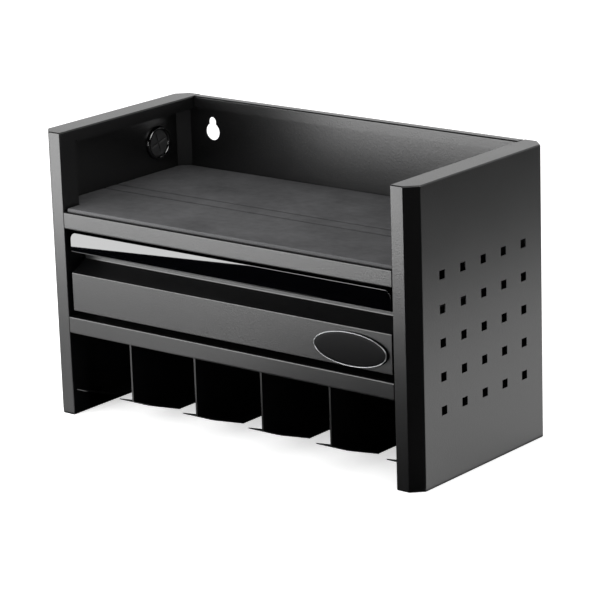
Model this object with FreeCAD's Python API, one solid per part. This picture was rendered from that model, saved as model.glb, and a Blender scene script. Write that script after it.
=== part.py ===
import FreeCAD, Part
import math
import os

Vector = FreeCAD.Vector

# Power tool storage rack, in millimetres.
# X runs left to right, Y from the front face to the rear face, Z up from the standing face.
# The origin is at the middle of the bounding box's underside.

# Overall sizes
WIDTH = 535.0
DEPTH = 250.0
HEIGHT = 340.0

# Folded sheet steel
SHEET = 1.2
DRAWER_SHEET = 1.0
HOLDER_SHEET = 1.0
BEND_RADIUS = 1.5
INNER_BEND = 0.6

# Side panels: open trays that face inwards
SIDE_THICKNESS = 30.3
SIDE_CHAMFER = 13.4
FRONT_LIP = 27.0
TOP_LIP = 15.2
CORNER_RELIEF_RADIUS = 2.2
HOLE_SIZE = 10.0
HOLE_PITCH = 38.0
HOLE_COUNT = 5
HOLE_GRID_Z = 159.0
HOOK_ROOM_WIDTH = 24.0
HOOK_ROOM_HEIGHT = 17.0
HOOK_ROOM_DEPTH = 12.0

# Back panel
BACK_CAP_DEPTH = 12.0
BACK_CAP_LIP = 13.7
BACK_FLOOR_GAP = 2.0
BACK_FOOT_DEPTH = 12.0
BACK_WING = 14.0
BACK_END_GAP = 0.6
KEYHOLE_X = 218.0
KEYHOLE_Z = 296.0
KEYHOLE_RADIUS = 10.5
KEYHOLE_SLOT_RADIUS = 5.4
KEYHOLE_RISE = 12.5

# Shelves
UPPER_SHELF_Z = 246.8
LOWER_SHELF_Z = 121.4
SHELF_APRON = 20.0
SHELF_RETURN = 18.0
SHELF_END_GAP = 0.5
SHELF_CLEARANCE = 0.3

# Foam mat on the upper shelf
MAT_THICKNESS = 4.0
MAT_SETBACK = 4.5
MAT_END_GAP = 3.0
MAT_WALL_GAP = 0.8

# Cable grommet in the left side panel
GROMMET_INSET = 49.5
GROMMET_Z = 286.0
GROMMET_RADIUS = 20.7
GROMMET_HOLE_RADIUS = 17.5
GROMMET_FIT = 0.05
GROMMET_WALL = 1.8
GROMMET_FLANGE = 4.4
GROMMET_ROUND = 2.4
PETAL_SEAT = 0.6
PETAL_THICKNESS = 1.2
PETAL_SLIT = 1.2
PETAL_RIM = 2.2
PETAL_TURN = 18.0

# Tool holders: inverted channels that hang from the lower shelf
HOLDER_COUNT = 5
HOLDER_PITCH = 97.2
HOLDER_GAP = 0.1
HOLDER_SETBACK = 3.5
HOLDER_REAR_GAP = 3.0
REST_WIDTH = 23.5
REST_FRONT_Z = 32.0
REST_REAR_Z = 13.3
REST_RAMP = 55.0
REST_STEP = 0.6
REST_TIP_RADIUS = 5.0
REST_LIP_GAP = 3.5
HOLDER_RIVET_INSET = 10.5

# Drawer
DRAWER_SETBACK = 4.0
DRAWER_END_GAP = 5.0
DRAWER_FLOOR_GAP = 6.2
FACE_HEIGHT = 46.3
LEDGE_DEPTH = 24.0
LEDGE_RISE = 12.2
RISER_HEIGHT = 7.4
RISER_BEND = 2.0
FRONT_FLANGE = 9.0
FRONT_UNDERLAP = 56.0
TRAY_LENGTH = 195.0
TRAY_HEM = 6.0

# Pull along the top of the drawer front
PULL_TOP_GAP = 4.2
PULL_WALL = 1.8
PULL_BROW_RADIUS = 0.8
PULL_CHIN_RADIUS = 1.6
PULL_UNDERSIDE_RISE = 5.6
PULL_REAR_RADIUS = 4.0
PULL_FOOT_RADIUS = 0.5
PULL_LEAST_RADIUS = 0.3
PULL_FOOT_GAP = 0.5
PULL_CAP = 7.0
PULL_CAP_CORNER = 9.0
PULL_CAP_EDGE = 0.5
PULL_CAP_SHELL = 3.0
PULL_SCREW_SHARES = (-0.85, -0.3, 0.3, 0.85)
PULL_PLUG = 6.0
PULL_PLUG_FIT = 0.15

# Oval badge on the drawer front
BADGE_X = 177.5
BADGE_DROP = 1.5
BADGE_WIDTH = 100.0
BADGE_HEIGHT = 38.8
BADGE_RIM = 1.8
BADGE_BODY_PROUD = 2.6
BADGE_RIM_PROUD = 3.6
BADGE_FIELD_PROUD = 3.1
BADGE_FIT = 0.1
BADGE_RIM_ROUND = 0.4

# Ball-bearing slides, three members each
SLIDE_LENGTH = 195.0
SLIDE_THICKNESS = 12.7
SLIDE_HEIGHT = 45.0
SLIDE_WALL = 1.2
SLIDE_Z = 160.5
SLIDE_RACE_GAP = 3.6
SLIDE_WEB_GAP = 0.8
SLIDE_OUTER_DEPTH = 9.5
SLIDE_OUTER_LIP = 2.2
SLIDE_MIDDLE_END_GAP = 2.0
SLIDE_INNER_DEPTH = 7.6
SLIDE_INNER_BEND = 0.3
SLIDE_FRONT_GAP = 1.0
SLIDE_RIVETS = 3
SLIDE_RIVET_MARGIN = 23.0
OUTER_RACE_DEPTH = 5.5
INNER_RACE_DEPTH = 7.6
BALL_POCKET_FIT = 0.1
BALL_DIAMETER = 3.0
BALL_COUNT = 6
BALL_PITCH = 16.0
CAGE_THICKNESS = 0.6
CAGE_WIDTH = 5.0
CAGE_MARGIN = 5.0

# Hat brackets between the side panels and the slides
BRACKET_HALF_HEIGHT = 25.0
BRACKET_FOOT = 11.0
BRACKET_FRONT_GAP = 2.0
BRACKET_REAR_GAP = 2.0

# Rivets and screws
RIVET_RADIUS = 2.0
RIVET_FIT = 0.05
RIVET_HEAD_RADIUS = 3.6
RIVET_HEAD = 0.5
RIVET_TAIL_RADIUS = 3.0
RIVET_TAIL = 1.2
SCREW_RADIUS = 1.6
SCREW_HEAD_RADIUS = 2.8
SCREW_HEAD = 2.0
SCREW_HEAD_ROUND = 0.9
SCREW_RECESS = 1.0
SCREW_TAIL = 1.0

# Places that follow from the sizes
FRONT = -DEPTH / 2.0
REAR = DEPTH / 2.0
HALF = WIDTH / 2.0
LIP_X = HALF - SIDE_THICKNESS
WALL_X = HALF - SHEET
BACK_REAR_Y = REAR - SHEET
BACK_FRONT_Y = BACK_REAR_Y - SHEET
FACE_Y = FRONT + DRAWER_SETBACK
FACE_X = LIP_X - DRAWER_END_GAP
FACE_BOTTOM = LOWER_SHELF_Z + DRAWER_FLOOR_GAP
FACE_TOP = FACE_BOTTOM + FACE_HEIGHT
RISER_Y = FACE_Y + LEDGE_DEPTH
RISER_BOTTOM = FACE_TOP + LEDGE_RISE
RISER_TOP = RISER_BOTTOM + RISER_HEIGHT
FLANGE_END_Y = RISER_Y + FRONT_FLANGE
TRAY_FRONT_Y = FLANGE_END_Y - DRAWER_SHEET
TRAY_REAR_Y = TRAY_FRONT_Y + TRAY_LENGTH
PULL_SCREW_Y = (RISER_Y + DRAWER_SHEET + TRAY_FRONT_Y) / 2.0
TRAY_X = LIP_X - SLIDE_THICKNESS
TRAY_BOTTOM = FACE_BOTTOM + DRAWER_SHEET
TRAY_TOP = RISER_TOP - DRAWER_SHEET
SLIDE_START_Y = FLANGE_END_Y + SLIDE_FRONT_GAP
SLIDE_END_Y = SLIDE_START_Y + SLIDE_LENGTH
SLIDE_MIDDLE_Y = (SLIDE_START_Y + SLIDE_END_Y) / 2.0
BRACKET_FRONT_Y = FRONT + FRONT_LIP + BRACKET_FRONT_GAP
BRACKET_REAR_Y = REAR - SIDE_CHAMFER - BRACKET_REAR_GAP
HOLDER_TOP = LOWER_SHELF_Z - SHELF_APRON
HOLDER_FRONT_Y = FRONT + HOLDER_SETBACK
HOLDER_REAR_Y = BACK_FRONT_Y - HOLDER_REAR_GAP
CHAMFER_SLANT = math.tan(math.radians(22.5))

# Points and edges closer than this count as the same
SAME_POINT = 1e-6


def point_in(plane, u, v, w):
    """Point with its two drawing coordinates in a plane and w along the plane's normal."""
    if plane == "XY":
        return Vector(u, v, w)
    if plane == "XZ":
        return Vector(u, w, v)
    return Vector(w, u, v)


def box(x0, x1, y0, y1, z0, z1):
    """Box between two corners."""
    return Part.makeBox(x1 - x0, y1 - y0, z1 - z0, Vector(x0, y0, z0))


def extrude_wire(edges, plane, w0, w1):
    """Solid between w0 and w1 from the closed edges drawn at w0."""
    face = Part.Face(Part.Wire(edges))
    return face.extrude(point_in(plane, 0.0, 0.0, w1 - w0))


def polygon_edges(points, plane, w0, radii=None):
    """Edges of a closed polygon at w0, with an arc at each corner that has a radius."""
    count = len(points)
    radii = radii or [0.0] * count
    bends = []
    for i in range(count):
        following = points[(i + 1) % count]
        bends.append(corner_arc(points[i - 1], points[i], following, radii[i]))
    edges = []
    for i in range(count):
        start, middle, end = bends[i]
        if radii[i] > 0.0:
            ends = [point_in(plane, p[0], p[1], w0) for p in (start, middle, end)]
            edges.append(Part.Arc(*ends).toShape())
        following = bends[(i + 1) % count][0]
        if math.dist(end, following) > SAME_POINT:
            line = [point_in(plane, p[0], p[1], w0) for p in (end, following)]
            edges.append(Part.LineSegment(*line).toShape())
    return edges


def corner_arc(before, corner, after, radius):
    """Start, middle and end of the arc that rounds a corner."""
    if radius <= 0.0:
        return corner, corner, corner
    into = unit(before, corner)
    out = unit(corner, after)
    cosine = max(-1.0, min(1.0, into[0] * out[0] + into[1] * out[1]))
    turn = math.acos(cosine)
    reach = radius * math.tan(turn / 2.0)
    start = (corner[0] - into[0] * reach, corner[1] - into[1] * reach)
    end = (corner[0] + out[0] * reach, corner[1] + out[1] * reach)
    inward = unit((into[0], into[1]), (out[0], out[1]))
    depth = radius / math.cos(turn / 2.0) - radius
    middle = (corner[0] + inward[0] * depth, corner[1] + inward[1] * depth)
    return start, middle, end


def unit(a, b):
    """Unit direction from a to b."""
    length = math.dist(a, b)
    return ((b[0] - a[0]) / length, (b[1] - a[1]) / length)


def offset_points(points, distance, closed=False):
    """Polyline moved to its left by a distance, with mitred corners."""
    count = len(points)
    moved = []
    for i in range(count):
        before = points[i - 1] if closed or i > 0 else None
        after = points[(i + 1) % count] if closed or i < count - 1 else None
        into = unit(before, points[i]) if before else unit(points[i], after)
        out = unit(points[i], after) if after else into
        normal_in = (-into[1], into[0])
        normal_out = (-out[1], out[0])
        scale = 1.0 + normal_in[0] * normal_out[0] + normal_in[1] * normal_out[1]
        dx = (normal_in[0] + normal_out[0]) / scale * distance
        dy = (normal_in[1] + normal_out[1]) / scale * distance
        moved.append((points[i][0] + dx, points[i][1] + dy))
    return moved


def folded_sheet(points, thickness, plane, w0, w1, inner=INNER_BEND):
    """Sheet folded along a polyline, its thickness to the left, or to the right if negative.

    The inner bend radius is one value, or a list with one for each point.
    """
    wall = abs(thickness)
    bends = inner if isinstance(inner, list) else [inner] * len(points)
    other = offset_points(points, thickness)
    near_radii = []
    far_radii = []
    for i in range(len(points)):
        near = 0.0
        far = 0.0
        if 0 < i < len(points) - 1:
            into = unit(points[i - 1], points[i])
            out = unit(points[i], points[i + 1])
            turns_left = into[0] * out[1] - into[1] * out[0] > 0.0
            inside_far = turns_left == (thickness > 0.0)
            near = bends[i] + wall if inside_far else bends[i]
            far = bends[i] if inside_far else bends[i] + wall
        near_radii.append(near)
        far_radii.append(far)
    outline = points + other[::-1]
    radii = near_radii + far_radii[::-1]
    return extrude_wire(polygon_edges(outline, plane, w0, radii), plane, w0, w1)


def prism(points, plane, w0, w1, radii=None):
    """Solid with a polygon section."""
    return extrude_wire(polygon_edges(points, plane, w0, radii), plane, w0, w1)


def cylinder(radius, start, direction, length):
    """Round bar or drill from a start point."""
    return Part.makeCylinder(radius, length, start, direction)


def fuse(shapes):
    """One clean solid from several that meet."""
    return shapes[0].multiFuse(shapes[1:]).removeSplitter()


def mirror_x(shape):
    """The same piece on the other side of the rack."""
    return shape.mirror(Vector(0, 0, 0), Vector(1, 0, 0))


def side_outline(inset):
    """Plan of the right side panel, moved inwards by inset all round."""
    slant = inset * CHAMFER_SLANT
    bevel_x = HALF - SIDE_CHAMFER - slant
    bevel_y = SIDE_CHAMFER + slant
    return [
        (LIP_X + inset, FRONT + inset),
        (bevel_x, FRONT + inset),
        (HALF - inset, FRONT + bevel_y),
        (HALF - inset, REAR - bevel_y),
        (bevel_x, REAR - inset),
        (LIP_X + inset, REAR - inset),
    ]


def hole_centres():
    """Places of the square holes on a side panel, as y and z."""
    steps = [(i - (HOLE_COUNT - 1) / 2.0) * HOLE_PITCH for i in range(HOLE_COUNT)]
    return [(y, HOLE_GRID_Z + z) for z in steps for y in steps]


def perforations():
    """Cutters for the square holes of the right outer wall."""
    half = HOLE_SIZE / 2.0
    wall = (WALL_X - 1, HALF + 1)
    return [box(*wall, y - half, y + half, z - half, z + half) for y, z in hole_centres()]


def hook_spaces():
    """Cutters that keep room for a hook behind each square hole of the right wall."""
    wide = HOOK_ROOM_WIDTH / 2.0
    high = HOOK_ROOM_HEIGHT / 2.0
    reach = (WALL_X - HOOK_ROOM_DEPTH, HALF)
    return [box(*reach, y - wide, y + wide, z - high, z + high) for y, z in hole_centres()]


def side_panel():
    """Right side panel: a tray folded from one sheet, open towards the middle."""
    outer = prism(side_outline(0.0), "XY", 0.0, HEIGHT)
    outer = outer.makeFillet(BEND_RADIUS, outer.Edges)
    hollow = prism(side_outline(SHEET), "XY", SHEET, HEIGHT - SHEET)
    window_y = FRONT + FRONT_LIP
    window_z = HEIGHT - TOP_LIP
    window = box(LIP_X - 1, LIP_X + 2 * SHEET, window_y, REAR - SHEET, SHEET, window_z)
    cutters = [hollow, window]
    for y, z in ((window_y, window_z), (REAR - 2 * SHEET, window_z)):
        start = Vector(LIP_X - 1, y, z)
        cutters.append(cylinder(CORNER_RELIEF_RADIUS, start, Vector(1, 0, 0), 1 + 2 * SHEET))
    cutters += perforations()
    return outer.cut(cutters)


def left_side_panel():
    """Left side panel, with the grommet's hole in its outer wall."""
    start = Vector(-HALF - 1, REAR - GROMMET_INSET, GROMMET_Z)
    hole = cylinder(GROMMET_HOLE_RADIUS, start, Vector(1, 0, 0), SHEET + 2)
    return mirror_x(side_panel()).cut(hole)


def keyhole(x):
    """Cutter for a hanging keyhole: a round entry with a narrow lobe above it."""
    start_y = BACK_FRONT_Y - 1
    length = SHEET + 2
    slot_z = KEYHOLE_Z + KEYHOLE_RISE
    entry = cylinder(KEYHOLE_RADIUS, Vector(x, start_y, KEYHOLE_Z), Vector(0, 1, 0), length)
    lobe = cylinder(KEYHOLE_SLOT_RADIUS, Vector(x, start_y, slot_z), Vector(0, 1, 0), length)
    r = KEYHOLE_SLOT_RADIUS
    neck = box(x - r, x + r, start_y, start_y + length, KEYHOLE_Z, slot_z)
    return fuse([entry, lobe, neck])


def back_panel():
    """Back panel: capped along the top, folded at the foot, with a wing behind each side."""
    half = LIP_X - BACK_END_GAP
    cap_y = BACK_REAR_Y - BACK_CAP_DEPTH
    line = [
        (cap_y, HEIGHT - BACK_CAP_LIP),
        (cap_y, HEIGHT),
        (BACK_REAR_Y, HEIGHT),
        (BACK_REAR_Y, BACK_FLOOR_GAP),
        (BACK_REAR_Y - BACK_FOOT_DEPTH, BACK_FLOOR_GAP),
    ]
    centre = folded_sheet(line, -SHEET, "YZ", -half, half)
    wing_x = LIP_X + BACK_WING
    wing_top = HEIGHT - TOP_LIP - CORNER_RELIEF_RADIUS - 1
    wing_low = BACK_FLOOR_GAP + BEND_RADIUS + INNER_BEND
    wings = box(-wing_x, wing_x, BACK_FRONT_Y, BACK_REAR_Y, wing_low, wing_top)
    cutters = [keyhole(-KEYHOLE_X), keyhole(KEYHOLE_X)]
    return fuse([centre, wings]).cut(cutters)


def screw(seat, direction, length):
    """Pan head screw with a round recess for the driver."""
    back = Vector(direction) * -SCREW_HEAD
    cap = cylinder(SCREW_HEAD_RADIUS, seat + back, direction, SCREW_HEAD)
    rim = [edge for edge in cap.Edges if edge.Closed and on_plane(edge, seat + back)]
    cap = cap.makeFillet(SCREW_HEAD_ROUND, rim)
    shank = cylinder(SCREW_RADIUS, seat, direction, length)
    drive = cylinder(SCREW_RECESS, seat + back, direction, SCREW_RECESS)
    return fuse([cap, shank]).cut(drive)


def on_plane(edge, point):
    """True for a round edge whose centre is the point."""
    return edge.Curve.Center.distanceToPoint(point) < SAME_POINT


def bay_outline(front_setback, end_gap, wall_gap, rear_y):
    """Plan of a sheet that fills the rack between its side panels, lips and back panel."""
    narrow = LIP_X - end_gap
    wide = WALL_X - wall_gap
    step_y = FRONT + FRONT_LIP + max(wall_gap, SHELF_CLEARANCE)
    inset = SHEET + max(wall_gap, SHELF_CLEARANCE)
    # the rear corners follow the inside of the 45 degree bends
    bevel_sum = HALF - SIDE_CHAMFER + REAR - inset * math.sqrt(2.0)
    right = [
        (narrow, FRONT + front_setback),
        (narrow, step_y),
        (wide, step_y),
        (wide, bevel_sum - wide),
        (bevel_sum - rear_y, rear_y),
    ]
    left = [(-x, y) for x, y in right[::-1]]
    return right + left


def shelf(top):
    """Shelf pan: apron and return at the front, flanges down the sides and the rear."""
    low = top - SHELF_APRON
    narrow = LIP_X - SHELF_END_GAP
    step_y = FRONT + FRONT_LIP + SHELF_CLEARANCE
    front_line = [
        (FRONT + SHELF_RETURN, low),
        (FRONT, low),
        (FRONT, top),
        (step_y + 1.0, top),
    ]
    apron = folded_sheet(front_line, -SHEET, "YZ", -narrow, narrow)
    side_line = [(WALL_X, low), (WALL_X, top), (-WALL_X, top), (-WALL_X, low)]
    pan = folded_sheet(side_line, SHEET, "XZ", step_y, BACK_FRONT_Y)
    plan = bay_outline(0.0, SHELF_END_GAP, 0.0, BACK_FRONT_Y)
    trimmed = pan.common(prism(plan, "XY", low - 1, top + 1))
    rear_x = LIP_X
    rear_line = [
        (BACK_FRONT_Y - SHELF_RETURN, low),
        (BACK_FRONT_Y, low),
        (BACK_FRONT_Y, top),
        (BACK_FRONT_Y - SHELF_RETURN, top),
    ]
    rear = folded_sheet(rear_line, SHEET, "YZ", -rear_x, rear_x)
    room = hook_spaces()
    room += [mirror_x(space) for space in room]
    return fuse([apron, trimmed, rear]).cut(room)


def lower_shelf():
    """Lower shelf, drilled for the rivets of the tool holders."""
    drills = []
    for x in holder_rivet_columns():
        for y in holder_rivet_rows():
            start = Vector(x, y, HOLDER_TOP - SHEET)
            drills.append(cylinder(RIVET_RADIUS + RIVET_FIT, start, Vector(0, 0, 1), 3 * SHEET))
    return shelf(LOWER_SHELF_Z).cut(drills)


def shelf_mat():
    """Foam mat on the upper shelf, cut round the lips and the rear bends."""
    plan = bay_outline(MAT_SETBACK, MAT_END_GAP, MAT_WALL_GAP, BACK_FRONT_Y - MAT_WALL_GAP)
    return prism(plan, "XY", UPPER_SHELF_Z, UPPER_SHELF_Z + MAT_THICKNESS)


def cable_grommet():
    """Round plastic grommet: a flange on the inside of the wall and a neck through it."""
    centre = Vector(-WALL_X, REAR - GROMMET_INSET, GROMMET_Z)
    inward = Vector(1, 0, 0)
    flange = cylinder(GROMMET_RADIUS, centre, inward, GROMMET_FLANGE)
    inner_face = centre + inward * GROMMET_FLANGE
    rim = [edge for edge in flange.Edges if edge.Closed and on_plane(edge, inner_face)]
    flange = flange.makeFillet(GROMMET_ROUND, rim)
    neck_start = Vector(-HALF, REAR - GROMMET_INSET, GROMMET_Z)
    neck = cylinder(GROMMET_HOLE_RADIUS - GROMMET_FIT, neck_start, inward, SHEET + GROMMET_WALL)
    bore_radius = GROMMET_HOLE_RADIUS - GROMMET_FIT - GROMMET_WALL
    bore_start = Vector(-HALF - 1, REAR - GROMMET_INSET, GROMMET_Z)
    bore = cylinder(bore_radius, bore_start, inward, SHEET + GROMMET_FLANGE + 2)
    return fuse([flange, neck]).cut(bore)


def grommet_petals():
    """Rubber disc in the grommet, slit crosswise into four petals."""
    radius = GROMMET_HOLE_RADIUS - GROMMET_FIT - GROMMET_WALL - GROMMET_FIT
    start_x = -WALL_X + PETAL_SEAT
    centre = Vector(start_x, REAR - GROMMET_INSET, GROMMET_Z)
    disc = cylinder(radius, centre, Vector(1, 0, 0), PETAL_THICKNESS)
    reach = radius - PETAL_RIM
    half = PETAL_SLIT / 2.0
    slits = []
    for quarter in range(2):
        slit = box(start_x - 1, start_x + PETAL_THICKNESS + 1, -reach, reach, -half, half)
        slit.rotate(Vector(0, 0, 0), Vector(1, 0, 0), PETAL_TURN + 90.0 * quarter)
        slit.translate(Vector(0, REAR - GROMMET_INSET, GROMMET_Z))
        slits.append(slit)
    return disc.cut(slits)


def holder_centres():
    """Middles of the tool holders along the rack."""
    middle = (HOLDER_COUNT - 1) / 2.0
    return [(i - middle) * HOLDER_PITCH for i in range(HOLDER_COUNT)]


def holder_rivet_columns():
    """Rivet lines of all the holders, two to each."""
    return [x + side * HOLDER_PITCH / 4.0 for x in holder_centres() for side in (-1, 1)]


def holder_rivet_rows():
    """Front and rear rivet lines, in the middle of the shelf's returns."""
    return [FRONT + HOLDER_RIVET_INSET, BACK_FRONT_Y - HOLDER_RIVET_INSET]


def holder_wall_outline():
    """Side view of a holder wall: a ramp at the foot, then a level edge to the rear."""
    level_y = HOLDER_FRONT_Y + REST_RAMP
    level_z = REST_REAR_Z - HOLDER_SHEET
    return [
        (HOLDER_FRONT_Y, REST_FRONT_Z - HOLDER_SHEET),
        (level_y, level_z - REST_STEP),
        (level_y, level_z),
        (HOLDER_REAR_Y, level_z),
        (HOLDER_REAR_Y, HOLDER_TOP - 2 * HOLDER_SHEET),
        (HOLDER_FRONT_Y, HOLDER_TOP - 2 * HOLDER_SHEET),
    ]


def ramp_rest(x0, x1, tip_x):
    """Sloping front part of a tool rest between x0 and x1, rounded at the tip in plan."""
    level_y = HOLDER_FRONT_Y + REST_RAMP
    front_z = REST_FRONT_Z
    rear_z = REST_REAR_Z - REST_STEP
    outline = [
        (HOLDER_FRONT_Y, front_z),
        (HOLDER_FRONT_Y, front_z - HOLDER_SHEET),
        (level_y, rear_z - HOLDER_SHEET),
        (level_y, rear_z),
    ]
    ramp = prism(outline, "YZ", x0, x1)
    base_x = x1 if tip_x == x0 else x0
    plan = [
        (base_x, HOLDER_FRONT_Y),
        (tip_x, HOLDER_FRONT_Y),
        (tip_x, level_y),
        (base_x, level_y),
    ]
    radii = [0.0, REST_TIP_RADIUS, 0.0, 0.0]
    return ramp.common(prism(plan, "XY", 0.0, front_z + 1, radii))


def tool_holder(centre):
    """One tool holder, with two walls and a rest along the foot of each."""
    half = HOLDER_PITCH / 2.0 - HOLDER_GAP
    level_y = HOLDER_FRONT_Y + REST_RAMP
    level_z = REST_REAR_Z - HOLDER_SHEET
    web = [
        (centre - half, HOLDER_TOP - 3 * HOLDER_SHEET),
        (centre - half, HOLDER_TOP),
        (centre + half, HOLDER_TOP),
        (centre + half, HOLDER_TOP - 3 * HOLDER_SHEET),
    ]
    pieces = [folded_sheet(web, -HOLDER_SHEET, "XZ", HOLDER_FRONT_Y, HOLDER_REAR_Y)]
    for side in (-1, 1):
        outer_x = centre + side * half
        inner_x = outer_x - side * HOLDER_SHEET
        tip_x = outer_x - side * REST_WIDTH
        low_x = min(outer_x, tip_x)
        high_x = max(outer_x, tip_x)
        pieces.append(prism(holder_wall_outline(), "YZ", min(outer_x, inner_x), max(outer_x, inner_x)))
        pieces.append(ramp_rest(low_x, high_x, tip_x))
        pieces.append(box(low_x, high_x, level_y, HOLDER_REAR_Y, level_z, REST_REAR_Z))
    drills = []
    for side in (-1, 1):
        for y in holder_rivet_rows():
            start = Vector(centre + side * HOLDER_PITCH / 4.0, y, HOLDER_TOP - 2 * HOLDER_SHEET)
            drills.append(cylinder(RIVET_RADIUS + RIVET_FIT, start, Vector(0, 0, 1), 3 * HOLDER_SHEET))
    return fuse(pieces).cut(drills)


def end_tool_holder(centre):
    """First or last tool holder, notched round the front lip of the side panel."""
    side = 1 if centre > 0 else -1
    near = side * (LIP_X - REST_LIP_GAP)
    far = side * HALF
    notch_rear = FRONT + FRONT_LIP + REST_LIP_GAP
    notch = box(min(near, far), max(near, far), FRONT - 1, notch_rear, 0.0, HOLDER_TOP + 1)
    return tool_holder(centre).cut(notch)


def rivet(head_seat, direction, grip):
    """Blind rivet: flat head on one face, formed tail beyond the grip."""
    back = Vector(direction) * -RIVET_HEAD
    head = cylinder(RIVET_HEAD_RADIUS, head_seat + back, direction, RIVET_HEAD)
    shank = cylinder(RIVET_RADIUS, head_seat, direction, grip)
    tail = cylinder(RIVET_TAIL_RADIUS, head_seat + Vector(direction) * grip, direction, RIVET_TAIL)
    return fuse([head, shank, tail])


def holder_rivets():
    """Rivets that fix the tool holders to the returns of the lower shelf."""
    rivets = []
    for x in holder_rivet_columns():
        for y in holder_rivet_rows():
            seat = Vector(x, y, HOLDER_TOP - HOLDER_SHEET)
            rivets.append(rivet(seat, Vector(0, 0, 1), HOLDER_SHEET + SHEET))
    return Part.makeCompound(rivets)


def slide_member(near, far, height, lip=0.0, drills=()):
    """C section slide member for the right side: web at near, flanges reaching to far."""
    half = height / 2.0
    line = [(far, -half), (near, -half), (near, half), (far, half)]
    if lip > 0.0:
        line = [(far, lip - half)] + line + [(far, half - lip)]
    line = [(x, SLIDE_Z + z) for x, z in line]
    wall = SLIDE_WALL if near > far else -SLIDE_WALL
    member = folded_sheet(line, wall, "XZ", SLIDE_START_Y, SLIDE_END_Y, SLIDE_INNER_BEND)
    return member.cut(list(drills)) if drills else member


def slide_rivet_rows():
    """Places of the rivets along a slide."""
    first = SLIDE_START_Y + SLIDE_RIVET_MARGIN
    step = (SLIDE_LENGTH - 2 * SLIDE_RIVET_MARGIN) / (SLIDE_RIVETS - 1)
    return [first + i * step for i in range(SLIDE_RIVETS)]


def slide_drills(x0, x1):
    """Drills through the webs that a slide rivet joins."""
    drills = []
    for y in slide_rivet_rows():
        start = Vector(x0, y, SLIDE_Z)
        drills.append(cylinder(RIVET_RADIUS + RIVET_FIT, start, Vector(1, 0, 0), x1 - x0))
    return drills


def slide_outer():
    """Outer member, fixed to the hat bracket."""
    drills = slide_drills(LIP_X - 2 * SLIDE_WALL, LIP_X + SLIDE_WALL)
    return slide_member(LIP_X, LIP_X - SLIDE_OUTER_DEPTH, SLIDE_HEIGHT, SLIDE_OUTER_LIP, drills)


def middle_height():
    """Height of the middle member: one race gap inside the outer member."""
    return SLIDE_HEIGHT - 2 * SLIDE_WALL - 2 * SLIDE_RACE_GAP


def inner_height():
    """Height of the inner member: one race gap inside the middle member."""
    return middle_height() - 2 * SLIDE_WALL - 2 * SLIDE_RACE_GAP


def slide_middle():
    """Middle member, which travels half as far as the drawer."""
    near = LIP_X - SLIDE_WALL - SLIDE_WEB_GAP
    far = TRAY_X + SLIDE_MIDDLE_END_GAP
    return slide_member(near, far, middle_height())


def slide_inner():
    """Inner member, fixed to the drawer tray."""
    drills = slide_drills(TRAY_X - SLIDE_WALL, TRAY_X + 2 * SLIDE_WALL)
    return slide_member(TRAY_X, TRAY_X + SLIDE_INNER_DEPTH, inner_height(), 0.0, drills)


def ball_cage(x, race_top):
    """Cages and balls of the two races at one depth, above and below the slide's middle."""
    offset = race_top - SLIDE_RACE_GAP / 2.0
    length = BALL_PITCH * (BALL_COUNT - 1) + 2 * CAGE_MARGIN
    pieces = []
    for side in (-1, 1):
        z = SLIDE_Z + side * offset
        half_width = CAGE_WIDTH / 2.0
        y0 = SLIDE_MIDDLE_Y - length / 2.0
        strip = box(
            x - half_width, x + half_width, y0, y0 + length,
            z - CAGE_THICKNESS / 2.0, z + CAGE_THICKNESS / 2.0,
        )
        balls = []
        pockets = []
        for i in range(BALL_COUNT):
            centre = Vector(x, y0 + CAGE_MARGIN + i * BALL_PITCH, z)
            balls.append(Part.makeSphere(BALL_DIAMETER / 2.0, centre))
            low = centre - Vector(0, 0, CAGE_THICKNESS)
            pocket_radius = BALL_DIAMETER / 2.0 + BALL_POCKET_FIT
            pockets.append(cylinder(pocket_radius, low, Vector(0, 0, 1), 2 * CAGE_THICKNESS))
        pieces.append(strip.cut(pockets))
        pieces += balls
    return pieces


def both_sides(pieces):
    """Compound of right-hand pieces and their mirror images."""
    return Part.makeCompound(pieces + [mirror_x(piece) for piece in pieces])


def outer_ball_cages():
    """Cages between the outer and middle members, both sides."""
    race_top = SLIDE_HEIGHT / 2.0 - SLIDE_WALL
    return both_sides(ball_cage(LIP_X - OUTER_RACE_DEPTH, race_top))


def inner_ball_cages():
    """Cages between the middle and inner members, both sides."""
    race_top = middle_height() / 2.0 - SLIDE_WALL
    return both_sides(ball_cage(LIP_X - INNER_RACE_DEPTH, race_top))


def slide_bracket():
    """Hat bracket that brings the slide out to the plane of the front lip."""
    foot_x = WALL_X - SHEET
    low = SLIDE_Z - BRACKET_HALF_HEIGHT
    high = SLIDE_Z + BRACKET_HALF_HEIGHT
    line = [
        (foot_x, low - BRACKET_FOOT),
        (foot_x, low),
        (LIP_X, low),
        (LIP_X, high),
        (foot_x, high),
        (foot_x, high + BRACKET_FOOT),
    ]
    hat = folded_sheet(line, -SHEET, "XZ", BRACKET_FRONT_Y, BRACKET_REAR_Y)
    return hat.cut(slide_drills(LIP_X - SHEET, LIP_X + 2 * SHEET) + hook_spaces())


def slide_rivets():
    """Rivets from each outer member into its bracket."""
    rivets = []
    for y in slide_rivet_rows():
        seat = Vector(LIP_X - SLIDE_WALL, y, SLIDE_Z)
        rivets.append(rivet(seat, Vector(1, 0, 0), SLIDE_WALL + SHEET))
    return both_sides(rivets)


def drawer_rivets():
    """Rivets from each inner member into the drawer tray."""
    rivets = []
    for y in slide_rivet_rows():
        seat = Vector(TRAY_X + SLIDE_WALL, y, SLIDE_Z)
        rivets.append(rivet(seat, Vector(-1, 0, 0), SLIDE_WALL + DRAWER_SHEET))
    return both_sides(rivets)


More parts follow.
